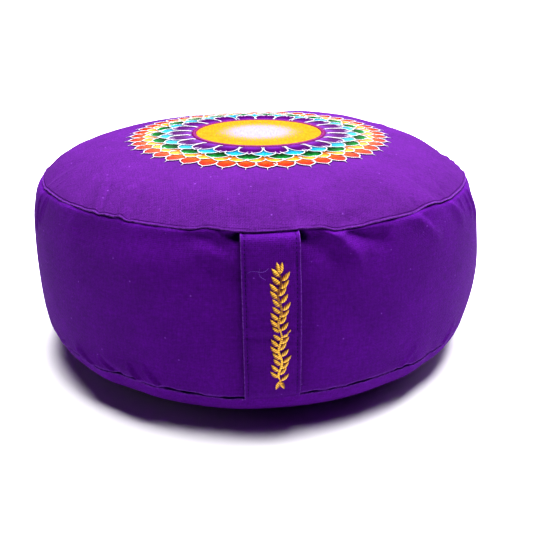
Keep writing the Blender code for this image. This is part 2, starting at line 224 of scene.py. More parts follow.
def ring_noise(angle, waves, seed):
    """A smooth random wave round the cushion, from -1 to 1, with this many knots."""
    knots = np.random.default_rng(seed).uniform(-1.0, 1.0, waves)
    place = (angle % 360.0) / 360.0 * waves
    first = np.floor(place).astype(int)
    blend = place - first
    blend = blend * blend * (3.0 - 2.0 * blend)
    return knots[first % waves] * (1.0 - blend) + knots[(first + 1) % waves] * blend


# The creases beside a seam, fine to broad. Columns: share, waves round the cushion, reach.
CREASE_SIZES = ((0.30, 230, 4.0), (0.42, 120, 9.0), (0.55, 46, 20.0))


def seam_puckers(angle, distance, seed, strength):
    """Small creases that run out from a seam, fine beside it and broader further away."""
    slanted = angle + distance * (0.12 + 0.40 * ring_noise(angle, 9, seed + 7))
    creases = 0.0
    for number, (share, waves, reach) in enumerate(CREASE_SIZES):
        creases = creases + share * ring_noise(slanted, waves, seed + number) * np.exp(-distance / reach)
    return strength * creases * (0.55 + 0.45 * ring_noise(angle, 14, seed + 3))


def plan_radius(points):
    """The distance of points from the cushion's axis, in mm."""
    return np.hypot(points[:, 0], points[:, 1])


def plan_angle(points):
    """The angle of points round the cushion, in degrees."""
    return np.degrees(np.arctan2(points[:, 1], points[:, 0]))


def settle(points, with_folds=True):
    """Move points of the true round form, in mm, to where the uneven filling leaves them."""
    x, y, z = points.T
    angle, radius = plan_angle(points), np.maximum(plan_radius(points), WELD)
    at_rim = np.minimum(radius / TOP_SEAM_RADIUS, 1.0) ** 6
    height = np.clip(z, BOTTOM_SEAM_HEIGHT, TOP_SEAM_HEIGHT)
    above_floor = np.clip(z / BOTTOM_SEAM_HEIGHT, 0.0, 1.0)
    held = 1.0 - SEAM_HOLD * bell(z - TOP_SEAM_HEIGHT, SEAM_HOLD_REACH)
    push = band_push(angle, height) * at_rim * above_floor * held if with_folds else 0.0
    rise = fold_push(CROWN_FOLDS, angle, radius, ONE_DEGREE * radius)
    rise = rise * bell(np.maximum(TOP_SEAM_HEIGHT - z, 0.0), CROWN_FADE)
    near_top = bell(z - TOP_SEAM_HEIGHT, TOP_WAVE_REACH)
    near_base = bell(z - BOTTOM_SEAM_HEIGHT, BOTTOM_WAVE_REACH) * above_floor
    for waves, near in ((TOP_SEAM_WAVES, near_top), (BOTTOM_SEAM_WAVES, near_base)):
        for at, up, width in waves:
            rise = rise + up * bell(turn_between(angle, at), width) * at_rim * near
    grown = (radius + push) / radius
    return np.column_stack((x * grown, y * grown, z + rise))


def coordinates(mesh):
    """A mesh's points, in mm."""
    points = np.empty(len(mesh.vertices) * 3)
    mesh.vertices.foreach_get("co", points)
    return points.reshape(-1, 3) / MM


def place_points(mesh, points):
    """Put a mesh's points at these places, in mm."""
    mesh.vertices.foreach_set("co", (points * MM).astype(np.float32).ravel())
    mesh.update()


def corner_points(mesh):
    """The number of the point at each corner of a mesh's faces."""
    numbers = np.empty(len(mesh.loops), dtype=np.int32)
    mesh.loops.foreach_get("vertex_index", numbers)
    return numbers


def corner_map(mesh, name, first, second):
    """Give a mesh a named map of two numbers, which come for each point or each corner."""
    pairs = np.column_stack((first, second))
    if len(pairs) == len(mesh.vertices):
        pairs = pairs[corner_points(mesh)]
    mesh.uv_layers.new(name=name).data.foreach_set("uv", pairs.astype(np.float32).ravel())


def paint_wear_and_highlight(mesh, share):
    """Say how pale each point of a mesh is painted along its folded edges, from 0 to 1: a painted highlight,
    with some worn dye.
    """
    corner_map(mesh, "shade", share, np.zeros(len(share)))


def new_piece(name, mesh, material):
    """Link a mesh as a smooth piece of the cushion and make it ride on the one body."""
    mesh.name = name
    mesh.shade_smooth()
    mesh.materials.clear()
    mesh.materials.append(material)
    piece = linked(name, mesh)
    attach(piece, "root")
    return piece


def turned_mesh(profile, band_at=None):
    """Turn a (radius, height) profile about Z and give it a cloth map in metres.

    A round panel is mapped flat, as it was cut, and a band by its arc at a radius.
    """
    shell = bmesh.new()
    corners = [shell.verts.new((radius * MM, 0.0, height * MM)) for radius, height in profile]
    for first, second in zip(corners, corners[1:]):
        shell.edges.new((first, second))
    bmesh.ops.spin(
        shell, geom=shell.verts[:] + shell.edges[:], cent=(0, 0, 0), axis=(0, 0, 1), dvec=(0, 0, 0),
        angle=math.tau / SECTORS, steps=STEPS // SECTORS, use_merge=False, use_duplicate=False)
    wedge = shell.verts[:] + shell.edges[:] + shell.faces[:]
    for sector in range(1, SECTORS):
        copied = bmesh.ops.duplicate(shell, geom=wedge)["geom"]
        turn = Matrix.Rotation(math.tau * sector / SECTORS, 3, "Z")
        turned = [part for part in copied if isinstance(part, bmesh.types.BMVert)]
        bmesh.ops.rotate(shell, cent=(0, 0, 0), matrix=turn, verts=turned)
    bmesh.ops.remove_doubles(shell, verts=shell.verts, dist=WELD * MM)
    bmesh.ops.recalc_face_normals(shell, faces=shell.faces)
    mesh = bpy.data.meshes.new("turned")
    shell.to_mesh(mesh)
    shell.free()

    radii, heights = (np.array(column) for column in zip(*profile))
    runs = np.concatenate(([0.0], np.cumsum(np.hypot(np.diff(radii), np.diff(heights)))))
    points = coordinates(mesh)
    angle, radius = plan_angle(points), plan_radius(points)
    nearest = np.hypot(radius[:, None] - radii, points[:, 2][:, None] - heights).argmin(axis=1)
    run = runs[nearest]
    if band_at is None:
        turn = np.radians(angle)
        corner_map(mesh, "cloth", np.cos(turn) * run * MM, np.sin(turn) * run * MM)
        return mesh
    middles = np.empty(len(mesh.polygons) * 3)
    sides = np.empty(len(mesh.polygons), dtype=np.int32)
    mesh.polygons.foreach_get("center", middles)
    mesh.polygons.foreach_get("loop_total", sides)
    middle_angle = np.repeat(plan_angle(middles.reshape(-1, 3)), sides)
    at = corner_points(mesh)
    unrolled = middle_angle + turn_between(angle[at], middle_angle)
    corner_map(mesh, "cloth", unrolled * ONE_DEGREE * band_at * MM, -run[at] * MM)
    return mesh


def linear_colour(hex_value):
    """The linear RGBA of an sRGB hex colour."""
    channels = [int(hex_value[place:place + 2], 16) / 255.0 for place in (1, 3, 5)]
    linear = [c / 12.92 if c <= 0.04045 else ((c + 0.055) / 1.055) ** 2.4 for c in channels]
    return (*linear, 1.0)


def feed(tree, node, **inputs):
    """Set or link each of these inputs of a node, by name or number."""
    for name, value in inputs.items():
        socket = node.inputs[int(name[1:]) if name[1:].isdigit() else name.replace("_", " ")]
        if isinstance(value, bpy.types.NodeSocket):
            tree.links.new(value, socket)
        else:
            socket.default_value = value


def add_node(tree, kind, settings=None, **inputs):
    """Add a shader node, set its properties, feed its inputs, and give back its outputs."""
    node = tree.nodes.new("ShaderNode" + kind)
    for name, value in (settings or {}).items():
        setattr(node, name, value)
    feed(tree, node, **inputs)
    return node.outputs


def new_material(name):
    """A new material, its node tree and its shader."""
    material = bpy.data.materials.new(name)
    material.use_nodes = True
    return material, material.node_tree, material.node_tree.nodes["Principled BSDF"]


def toned(tree, colour, tones):
    """A colour made darker or paler by several patterns at once.

    Each comes with the range it is read over and with its tones at both ends.
    """
    total = 1.0
    for pattern, low, high, tone_low, tone_high in tones:
        tone = add_node(
            tree, "MapRange", Value=pattern, From_Min=low, From_Max=high, To_Min=tone_low,
            To_Max=tone_high)["Result"]
        total = add_node(tree, "Math", {"operation": "MULTIPLY"}, _0=total, _1=tone)[0]
    return add_node(tree, "VectorMath", {"operation": "SCALE"}, _0=colour, Scale=total)["Vector"]


CANVAS_THREAD = 1.1  # pitch of the canvas's threads as drawn
WAVE_UNIT = math.tau / 20.0  # a wave texture of this scale has its bands 1 m apart


def cotton_canvas(name, hex_value, wear_and_highlight):
    """Piece-dyed plain-woven cotton canvas.

    Matt, with the two thread directions just showing as a fine grain, slubs where a
    thread runs thick, uneven dye, flecks of lint, and a pale bloom at grazing angles.
    Its threads lie 0.5 mm apart, and are drawn twice as far so that they show. Along its
    folded edges it is painted paler: a painted highlight, with some worn dye.
    """
    material, tree, shader = new_material(name)
    cloth = add_node(tree, "UVMap", {"uv_map": "cloth"})["UV"]
    place = add_node(tree, "TexCoord")["Object"]

    threads, slubs = [], []
    for direction, stretch in (("X", (120.0, 560.0, 1.0)), ("Y", (560.0, 120.0, 1.0))):
        threads.append(add_node(
            tree, "TexWave", {"wave_type": "BANDS", "bands_direction": direction}, Vector=cloth,
            Scale=WAVE_UNIT / (CANVAS_THREAD * MM), Distortion=1.5, Detail=1.0, Detail_Scale=300.0
        )["Fac"])
        run = add_node(tree, "Mapping", Vector=cloth, Scale=stretch)["Vector"]
        slubs.append(add_node(
            tree, "TexNoise", Vector=run, Scale=1.0, Detail=3.0, Roughness=0.7)["Fac"])
    over_under = add_node(
        tree, "TexChecker", Vector=cloth, Scale=1.0 / (CANVAS_THREAD * MM))["Fac"]
    weave = add_node(
        tree, "Mix", {"data_type": "FLOAT"}, _0=over_under, _2=threads[0], _3=threads[1])["Result"]
    slub = add_node(tree, "Mix", {"data_type": "FLOAT"}, _0=0.5, _2=slubs[0], _3=slubs[1])["Result"]
    dye = add_node(tree, "TexNoise", Vector=place, Scale=30.0, Detail=5.0, Roughness=0.6)["Fac"]
    fuzz = add_node(tree, "TexNoise", Vector=cloth, Scale=520.0, Detail=2.0, Roughness=0.75)["Fac"]
    dyed = toned(tree, linear_colour(hex_value)[:3], (
        (slub, 0.36, 0.64, 0.84, 1.16), (dye, 0.3, 0.7, 0.90, 1.10),
        (weave, 0.0, 1.0, 0.90, 1.06), (fuzz, 0.3, 0.7, 0.86, 1.15)))

    specks = add_node(tree, "TexVoronoi", Vector=cloth, Scale=90.0)["Distance"]
    lint = add_node(
        tree, "MapRange", Value=specks, From_Min=0.03, From_Max=0.07, To_Min=0.4, To_Max=0.0)["Result"]
    shade = add_node(tree, "UVMap", {"uv_map": "shade"})["UV"]
    at_edge = add_node(tree, "SeparateXYZ", Vector=shade)["X"]
    wear_and_highlight_strength = add_node(
        tree, "MapRange", Value=fuzz, From_Min=0.32, From_Max=0.58, To_Min=0.15 * wear_and_highlight, To_Max=wear_and_highlight
    )["Result"]
    wear_and_highlight_share = add_node(tree, "Math", {"operation": "MULTIPLY"}, _0=wear_and_highlight_strength, _1=at_edge)[0]
    # Lint specks, and the painted highlight with some worn dye along folded edges, both paler than the dye.
    for share, pale in ((lint, "#9a63c8"), (wear_and_highlight_share, "#9c6cc6")):
        dyed = add_node(
            tree, "Mix", {"data_type": "RGBA"}, _0=share, _6=dyed, _7=linear_colour(pale))[2]

    bump = add_node(tree, "Bump", Strength=0.65, Distance=0.9 * MM, Height=slub)["Normal"]
    bump = add_node(tree, "Bump", Strength=0.6, Distance=0.3 * MM, Height=weave, Normal=bump)["Normal"]
    rough = add_node(tree, "MapRange", Value=slub, To_Min=0.78, To_Max=0.95)["Result"]
    feed(tree, shader, Base_Color=dyed, Normal=bump, Roughness=rough, Specular_IOR_Level=0.10,
         Sheen_Weight=0.025, Sheen_Roughness=0.45, Sheen_Tint=linear_colour("#c9a6f0"))
    return material


BAND_TOP, BAND_FOOT = TOP_SEAM_HEIGHT - 0.68, BOTTOM_SEAM_HEIGHT + 0.3
TOP_PULL, FOOT_PULL, PULL_REACH = 1.15, 0.4, 1.05  # how far the stitches draw the band in
STAND, STAND_AT, STAND_REACH = 0.35, 1.3, 0.8  # the allowance's roll over the lower seam
PULLS_ROUND, PINCH_SEED, TUCK_SEED = 170, 5, 6  # short pulls of the stitches round a seam
PINCH, PINCH_SPREAD, PINCH_REACH = 0.10, 0.35, 0.8  # the pulls at the top seam
TUCK, DEEPEST_TUCK, TUCK_REACH = 2.1, 2.2, 1.5  # the short tucks at the lower seam
BAND_TOP_PUCKERS, FOOT_PUCKERS = (11, 1.2), (23, 2.1)  # seed and strength
# Painted highlight, with some worn dye, along the roll over the lower seam: how strong, its height above the
# band's foot, and its reach.
FOOT_WEAR_AND_HIGHLIGHT, FOOT_WEAR_AND_HIGHLIGHT_AT, FOOT_WEAR_AND_HIGHLIGHT_REACH = 0.9, 1.6, 0.6  # the pale line along the roll
EDGE_STEPS = (0.0, 0.2, 0.45, 0.8, 1.3, 2.0, 2.9, 4.0, 5.4, 7.2, 9.4, 12.0, 15.0)

band_heights = [BAND_TOP - step for step in EDGE_STEPS]
band_heights += list(np.linspace(BAND_TOP - 19.0, BAND_FOOT + 19.0, 19))
band_heights += [BAND_FOOT + step for step in reversed(EDGE_STEPS)]
filled_profile = [(0.0, HEIGHT - CANVAS - GAP)]
filled_profile += [crown_point(fraction, CANVAS + GAP) for fraction in (0.28, 0.5, 0.68, 0.82, 0.92, 0.975)]
for level in band_heights:
    pull = TOP_PULL if level > BELLY_HEIGHT else FOOT_PULL
    pull *= bell(min(BAND_TOP - level, level - BAND_FOOT), PULL_REACH)
    stand = STAND * bell(level - BAND_FOOT - STAND_AT, STAND_REACH)
    filled_profile.append((band_radius(level) - pull + stand, level))
filled_profile += [base_point(degrees, CANVAS + GAP) for degrees in (5, 18, 36, 54, 72, 90)]
filled_profile += [(0.0, CANVAS + GAP)]


def outward_way(points):
    """The outward direction of points round the cushion, on the floor plan."""
    return points[:, :2] / np.maximum(plan_radius(points), WELD)[:, None]


def foot_puckers(angle, distance):
    """The lower seam's creases, deepest on the left in front, where most cloth was eased in."""
    eased = 1.0 + 0.9 * bell(turn_between(angle, EASED_ANGLE), 18.0)
    return seam_puckers(angle, distance, *FOOT_PUCKERS) * eased


def lay_band_cloth(points):
    """Settle points of the band's true form, with the puckers and uneven pull of its seams."""
    angle = plan_angle(points)
    on_band = (points[:, 2] <= BAND_TOP + WELD) & (points[:, 2] >= BAND_FOOT - WELD)
    from_top = np.maximum(BAND_TOP - points[:, 2], 0.0)
    from_foot = np.maximum(points[:, 2] - BAND_FOOT, 0.0)
    push = seam_puckers(angle, from_top, *BAND_TOP_PUCKERS)
    push += foot_puckers(angle, from_foot)
    pinch = PINCH + PINCH_SPREAD * ring_noise(angle, PULLS_ROUND, PINCH_SEED)
    eased = 1.0 + 0.8 * bell(turn_between(angle, EASED_ANGLE), 24.0)
    tuck = TUCK * eased * ring_noise(angle, PULLS_ROUND, TUCK_SEED)
    push -= np.maximum(pinch, 0.0) * np.exp(-from_top / PINCH_REACH)
    push -= np.clip(tuck, 0.0, DEEPEST_TUCK) * bell(from_foot, TUCK_REACH)
    laid = settle(points)
    laid[:, :2] += outward_way(points) * (push * on_band)[:, None]
    return laid


band_mesh = turned_mesh(filled_profile, band_at=band_radius(BELLY_HEIGHT))
form = coordinates(band_mesh)
# Painted highlight, with some worn dye, along the roll just above the lower seam.
paint_wear_and_highlight(band_mesh, FOOT_WEAR_AND_HIGHLIGHT * bell(form[:, 2] - BAND_FOOT - FOOT_WEAR_AND_HIGHLIGHT_AT, FOOT_WEAR_AND_HIGHLIGHT_REACH))
place_points(band_mesh, lay_band_cloth(form))

# The one canvas is given a slightly different colour on each piece, tuned to how the light falls on it:
# painted light and shade.
band_canvas = cotton_canvas("violet_cotton_canvas_band", "#540d7b", wear_and_highlight=0.3)
filled_cushion = new_piece("filled_cushion", band_mesh, band_canvas)
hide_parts("cushion")

# ---- The top panel
# A round of the same canvas, pulled into a dome by the filling. Its edge is turned over
# the seam allowance and stitched down, so that a narrow roll stands outside a groove.
ROLL_RISE, GROOVE_DEPTH, ROLL_WIDTH = 0.26, 0.42, 0.36
ROLL_INSIDE, STITCH_INSIDE = 0.2, 0.95  # from the seam to the roll and to the stitches
# In front the turned edge is flatter, and less painted highlight is put on it there.
ROLL_FLATTER, FRONT_HIGHLIGHT_CUT = 0.92, 0.7  # in front, where the strap's root lies behind it
PANEL_PUCKERS = 37, 1.1  # seed and strength
RAGGED, RAGGED_REACH, RAGGED_WAVES = 0.2, 1.2, (240, 41)  # how unevenly the edge is turned

crown_fractions = [*np.linspace(0.04, 0.80, 20), *np.linspace(0.82, 0.955, 13)]
rim_insets = [*np.arange(5.2, 1.9, -0.4), *np.arange(1.7, -0.01, -0.17)]
crown_fractions += [1.0 - inset / TOP_SEAM_RADIUS for inset in rim_insets]


def roll_rise(inside):
    """How far the turned edge stands up, and its stitched groove lies low, inside the seam."""
    roll, groove = (bell(inside - at, ROLL_WIDTH) for at in (ROLL_INSIDE, STITCH_INSIDE))
    return ROLL_RISE * roll - GROOVE_DEPTH * groove


top_profile = [(0.0, HEIGHT)]
for fraction in crown_fractions:
    top_profile.append(crown_point(fraction, -roll_rise(TOP_SEAM_RADIUS * (1.0 - fraction))))
top_profile += [(TOP_SEAM_RADIUS + out, TOP_SEAM_HEIGHT - down) for out, down in (
    (0.16, 0.06), (0.24, 0.22), (0.2, 0.45), (0.04, 0.62), (-0.3, 0.74), (-1.0, 0.8), (-2.0, 0.75))]
top_profile += [crown_point(fraction, CANVAS) for fraction in (0.92, 0.82, 0.68, 0.5, 0.28)]
top_profile += [(0.0, HEIGHT - CANVAS)]


def lay_top_cloth(points):
    """Settle points of the top panel's true form, with the fine puckers beside its seam."""
    angle = plan_angle(points)
    from_edge = np.maximum(TOP_SEAM_RADIUS - plan_radius(points), 0.0)
    laid = settle(points)
    laid[:, 2] += seam_puckers(angle, from_edge, *PANEL_PUCKERS)
    ragged = RAGGED * ring_noise(angle, *RAGGED_WAVES) * np.exp(-from_edge / RAGGED_REACH)
    laid[:, :2] += outward_way(points) * ragged[:, None]
    laid[:, 2] += 0.5 * ragged
    flatter = ROLL_FLATTER * bell(turn_between(angle, ROOT_ANGLE), 40.0)
    laid[:, 2] -= flatter * roll_rise(from_edge)
    return laid


def on_crown(across, back, lift):
    """Points over a place on the floor plan, raised by lift off the top cloth, in mm."""
    fraction = np.minimum(np.hypot(across, back) / TOP_SEAM_RADIUS, 1.0)
    height = HEIGHT - (HEIGHT - TOP_SEAM_HEIGHT) * fraction ** CROWN_POWER
    return lay_top_cloth(np.column_stack((across, back, height + lift)))


top_mesh = turned_mesh(top_profile)
form = coordinates(top_mesh)
beyond_seam = plan_radius(form) - TOP_SEAM_RADIUS
in_front = bell(turn_between(plan_angle(form), ROOT_ANGLE), 36.0)
# Painted highlight, with some worn dye, along the outside of the rolled edge, weaker in front.
paint_wear_and_highlight(top_mesh, bell(beyond_seam - 0.08, 0.26) * (1.0 - FRONT_HIGHLIGHT_CUT * in_front))
place_points(top_mesh, lay_top_cloth(form))

# The crown's canvas is greyer than the band's: a painted sheen where the overhead light falls on it.
top_canvas = cotton_canvas("violet_cotton_canvas_top", "#4f196c", wear_and_highlight=0.4)
top_cloth = new_piece("top_cloth", top_mesh, top_canvas)
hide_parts("top_panel")

# ---- The embroidered rosette
# Rayon thread in satin stitch: five rings of lotus petals, each ring over the one outside
# it and each petal edged with a white cord, round a magenta ring and a gold centre.
ROSETTE_MIDDLE = (2.4, -4.5)
GOLD_RADIUS = 50.0


def grid_mesh(columns, rows, copies=1):
    """Flat grids of faces, and each vertex's column, row and copy number."""
    flat = bmesh.new()
    for _ in range(copies):
        bmesh.ops.create_grid(flat, x_segments=columns, y_segments=rows, size=0.5)
    mesh = bpy.data.meshes.new("grid")
    flat.to_mesh(mesh)
    flat.free()
    places = coordinates(mesh)[:, :2] * MM + 0.5
    column, row = np.rint(places * (columns, rows)).astype(int).T
    return mesh, column, row, np.arange(len(places)) // ((columns + 1) * (rows + 1))


def close_up(mesh, thickness=0.0):
    """Weld a mesh's meeting edges, close it into solids, and face it outwards, in mm.

    Where there is a thickness, open sheets get it, and otherwise their holes are filled.
    """
    shell = bmesh.new()
    shell.from_mesh(mesh)
    bmesh.ops.remove_doubles(shell, verts=shell.verts, dist=WELD * MM)
    if thickness:
        bmesh.ops.solidify(shell, geom=shell.faces[:], thickness=thickness * MM)
    open_edges = [edge for edge in shell.edges if edge.is_boundary]
    if open_edges:
        bmesh.ops.holes_fill(shell, edges=open_edges, sides=0)
    bmesh.ops.recalc_face_normals(shell, faces=shell.faces)
    shell.to_mesh(mesh)
    shell.free()


def laid_thread(name, root_hex, tip_hex, root_end=0.1, tip_start=0.9, mottle=0.12, roughness=0.42,
                lie=0.85, gloss=0.32, thread_mm=1.3, painted_furrow_shade=0.64, painted_edge_shade=0.0):
    """Embroidery or sewing thread, laid side by side along the cloth map's second way.

    Rayon is glossy across its threads and not along them, so petals stitched away from
    the eye look paler than those stitched towards it. It has streaks where threads
    differ. Painted shade darkens the furrows between its threads, whose crests are painted a
    little paler, and a petal's edges, where they go down into the cloth. Its threads lie
    0.4 mm apart, and are drawn two or three times as far so that they show.
    """
    material, tree, shader = new_material(name)
    cloth = add_node(tree, "UVMap", {"uv_map": "cloth"})["UV"]
    shade = add_node(tree, "UVMap", {"uv_map": "shade"})["UV"]
    across_petal, along_petal, _ = add_node(tree, "SeparateXYZ", Vector=shade)
    threads = add_node(
        tree, "TexWave", {"wave_type": "BANDS", "bands_direction": "X"}, Vector=cloth,
        Scale=WAVE_UNIT / (thread_mm * MM), Distortion=1.2, Detail=1.0, Detail_Scale=250.0)["Fac"]
    run = add_node(tree, "Mapping", Vector=cloth, Scale=(850.0, 110.0, 1.0))["Vector"]
    streaks = add_node(tree, "TexNoise", Vector=run, Scale=1.0, Detail=2.0, Roughness=0.6)["Fac"]
    moved = add_node(
        tree, "Math", {"operation": "MULTIPLY_ADD"}, _0=streaks, _1=2.0 * mottle, _2=along_petal)[0]
    blend = add_node(
        tree, "MapRange", {"interpolation_type": "SMOOTHSTEP"}, Value=moved,
        From_Min=root_end + mottle, From_Max=tip_start + mottle)["Result"]
    dyed = add_node(
        tree, "Mix", {"data_type": "RGBA"}, _0=blend, _6=linear_colour(root_hex),
        _7=linear_colour(tip_hex))[2]
    # The drawn threads are darker in their furrows in painted shade and a little paler on their crests, and
    # streaked at random.
    tones = [(threads, 0.0, 1.0, painted_furrow_shade, 1.12), (streaks, 0.3, 0.7, 0.75, 1.25)]
    # Painted shade: a petal darker towards its edges, where they go down into the cloth, and a little paler
    # along its middle.
    if painted_edge_shade:
        aside = add_node(tree, "Math", {"operation": "SUBTRACT"}, _0=across_petal, _1=0.5)[0]
        aside = add_node(tree, "Math", {"operation": "ABSOLUTE"}, _0=aside)[0]
        tones.append((aside, 0.15, 0.5, 1.12, 1.0 - painted_edge_shade))
    relief = add_node(tree, "Bump", Strength=0.55, Distance=0.25 * MM, Height=threads)["Normal"]
    across = add_node(tree, "Tangent", {"direction_type": "UV_MAP", "uv_map": "cloth"})["Tangent"]
    feed(tree, shader, Base_Color=toned(tree, dyed, tones), Normal=relief, Tangent=across,
         Roughness=roughness, Anisotropic=lie, Specular_IOR_Level=gloss)
    return material


def cords(name, paths, half_width, half_height, lay, thread, sides=6):
    """Round threads lying on cloth along paths of (across, along, lift), in mm.

    Their widths may taper along the path, and lay puts flat places on the cloth.
    """
    paths = np.array(paths)
    count, places, _ = paths.shape
    mesh, column, row, copy = grid_mesh(sides, places - 1, count)
    way = np.gradient(paths[:, :, :2], axis=1)
    way /= np.maximum(np.linalg.norm(way, axis=2, keepdims=True), 0.001)
    turn = math.tau * column / sides
    off = np.broadcast_to(half_width, (count, places))[copy, row] * np.cos(turn)
    rise = np.broadcast_to(half_height, (count, places))[copy, row] * np.sin(turn)
    middle, way = paths[copy, row], way[copy, row]
    across, along = middle[:, 0] - way[:, 1] * off, middle[:, 1] + way[:, 0] * off
    place_points(mesh, lay(across, along, middle[:, 2] + rise))
    steps = np.linalg.norm(np.diff(paths[:, :, :2], axis=1), axis=2)
    gone = np.concatenate((np.zeros((count, 1)), np.cumsum(steps, axis=1)), axis=1)[copy, row]
    corner_map(mesh, "cloth", gone * MM, off * MM)
    corner_map(mesh, "shade", column / sides, row / (places - 1))
    close_up(mesh)
    return new_piece(name, mesh, thread)


# A petal's share of its full width, from its root (0) to its drawn-out tip (1).
PETAL_ALONG = (0.0, 0.2, 0.4, 0.55, 0.70, 0.80, 0.88, 0.93, 0.965, 0.985, 1.0)
PETAL_SHARE = (0.60, 0.82, 0.96, 1.0, 0.98, 0.90, 0.74, 0.54, 0.32, 0.15, 0.0)
PETAL_COLUMNS, PETAL_ROWS = 10, 12
PETAL_DOME, SATIN_THICKNESS = 0.4, 0.45
EDGING_PLACES, EDGING_END = 15, 1.12  # an edging cord runs on past the petal's tip
EDGING_RISE, EDGING_THICK = 0.18, (0.52, 0.5, 0.12)  # at its root, near the tip and at its end


def petal_ring(name, count, first_angle, root, tip, half_width, lift, edge_from, drawn_out, thread):
    """A ring of domed satin petals, with white edging cords drawn out a little at the tip."""
    chance = np.random.default_rng(count * 7 + int(tip))
    turns = np.radians(first_angle + np.arange(count) * 360.0 / count + chance.uniform(-0.5, 0.5, count))
    lengths = 1.0 + chance.uniform(-0.03, 0.03, count)
    widths = half_width * (1.0 + chance.uniform(-0.05, 0.05, count))

    def flat(across, along, petal, beyond=0.0):
        reach = root + (tip - root) * along * lengths[petal] + beyond
        aside = across * widths[petal] * np.interp(along, PETAL_ALONG, PETAL_SHARE)
        turn = turns[petal]
        x = ROSETTE_MIDDLE[0] + reach * np.cos(turn) + aside * np.sin(turn)
        return x, ROSETTE_MIDDLE[1] + reach * np.sin(turn) - aside * np.cos(turn), aside

    mesh, column, row, petal = grid_mesh(PETAL_COLUMNS, PETAL_ROWS, count)
    across, along = 2.0 * column / PETAL_COLUMNS - 1.0, row / PETAL_ROWS
    showing = np.clip((along - 0.45) / 0.3, 0.0, 1.0)
    dome = PETAL_DOME * (1.0 - across ** 2) * showing * (1.0 - along ** 6)
    x, y, aside = flat(across, along, petal)
    place_points(mesh, on_crown(x, y, lift + dome))
    corner_map(mesh, "cloth", aside * MM, (root + (tip - root) * along) * MM)
    corner_map(mesh, "shade", column / PETAL_COLUMNS, along)
    close_up(mesh, thickness=SATIN_THICKNESS)
    new_piece(name, mesh, thread)

    reached = np.linspace(edge_from, EDGING_END, EDGING_PLACES)
    along = np.minimum(reached, 1.0)
    past_tip = np.maximum(reached - 1.0, 0.0) / (EDGING_END - 1.0)
    sunk = 0.7 * np.clip(1.0 - (along - edge_from) / 0.14, 0.0, 1.0) + 0.25 * past_tip
    paths = []
    for side in (-1.0, 1.0):
        for number in range(count):
            x, y, _ = flat(side, along, number, past_tip * drawn_out)
            paths.append(np.column_stack((x, y, lift + EDGING_RISE - sunk)))
    taper = np.interp(reached, (0.0, 0.98, EDGING_END), EDGING_THICK)
    cords(name + "_edging", paths, taper, 0.6 * taper + 0.08, on_crown, white_thread)


# The rings, from the outside in. Columns: colour, petals, first angle, root and tip radius,
# half width, lift, start of the edging, how far its tip is drawn out, colours at root and
# tip, where and how unevenly they blend, gloss, and the painted shade at the edges.
PETAL_RINGS = (
    ("orange", 44, 0.0, 74.0, 101.5, 7.1, 0.30, 0.60, 3.4, "#ac480a", "#8c1200", 0.50, 0.92, 0.2, 0.18, 0.5),
    ("yellow", 44, 4.09, 68.0, 91.0, 6.6, 0.52, 0.55, 2.2,
     "#a05606", "#a88c24", 0.62, 0.92, 0.16, 0.25, 0.35),
    ("green", 22, 0.0, 60.0, 86.0, 8.9, 0.74, 0.50, 2.2, "#00280a", "#04702c", 0.55, 1.05, 0.2, 0.08, 0.5),
    ("turquoise", 22, 8.18, 54.0, 79.0, 8.2, 0.96, 0.38, 2.2,
     "#00506c", "#1688a4", 0.40, 0.95, 0.16, 0.22, 0.4),
    ("violet", 22, 0.0, 49.0, 73.0, 8.2, 1.18, 0.15, 2.2, "#5a2276", "#400250", 0.25, 0.60, 0.24, 0.09, 0.4),
)
white_thread = laid_thread("white_rayon_edging", "#a8a6ae", "#b4b2b8", mottle=0.05)
for colour, *places, root_hex, tip_hex, blend_start, blend_end, mottle, gloss, painted_edge_shade in PETAL_RINGS:
    satin = laid_thread(
        colour + "_rayon_satin", root_hex, tip_hex, blend_start, blend_end, mottle, gloss=gloss,
        painted_edge_shade=painted_edge_shade)
    petal_ring(colour + "_petals", *places, satin)


def raised_round(name, profile, thread, band_at=None):
    """Turn a profile of (radius, lift off the top cloth) into a round of stitching."""
    mesh = turned_mesh([(radius, HEIGHT + lift) for radius, lift in profile], band_at)
    x, y, z = coordinates(mesh).T
    corner_map(mesh, "shade", z * 0.0, np.hypot(x, y) / GOLD_RADIUS)
    place_points(mesh, on_crown(x + ROSETTE_MIDDLE[0], y + ROSETTE_MIDDLE[1], z - HEIGHT))
    new_piece(name, mesh, thread)


ring_profile = [(GOLD_RADIUS + out, lift) for out, lift in (
    (-0.6, -0.3), (-0.6, 1.2), (0.1, 1.75), (1.3, 1.95), (2.4, 1.75), (3.0, 1.2), (3.1, -0.3), (-0.6, -0.3))]
magenta_satin = laid_thread("magenta_rayon_satin", "#540848", "#6a0f5a", gloss=0.12)
raised_round("magenta_ring", ring_profile, magenta_satin, band_at=GOLD_RADIUS)
gold_profile = [(0.0, 1.5)] + [(radius, 1.5) for radius in np.linspace(3.0, GOLD_RADIUS - 2.6, 16)]
gold_profile += [(GOLD_RADIUS - 1.2, 1.4), (GOLD_RADIUS - 0.3, 1.1), (GOLD_RADIUS, 0.5), (GOLD_RADIUS, -0.2),
                 (GOLD_RADIUS * 0.5, -0.2), (0.0, -0.2)]
gold_fill = laid_thread("gold_rayon_fill", "#8e8aa6", "#a27a14", 0.26, 0.70, 0.34, lie=0.5, thread_mm=0.8)
raised_round("gold_centre", gold_profile, gold_fill)

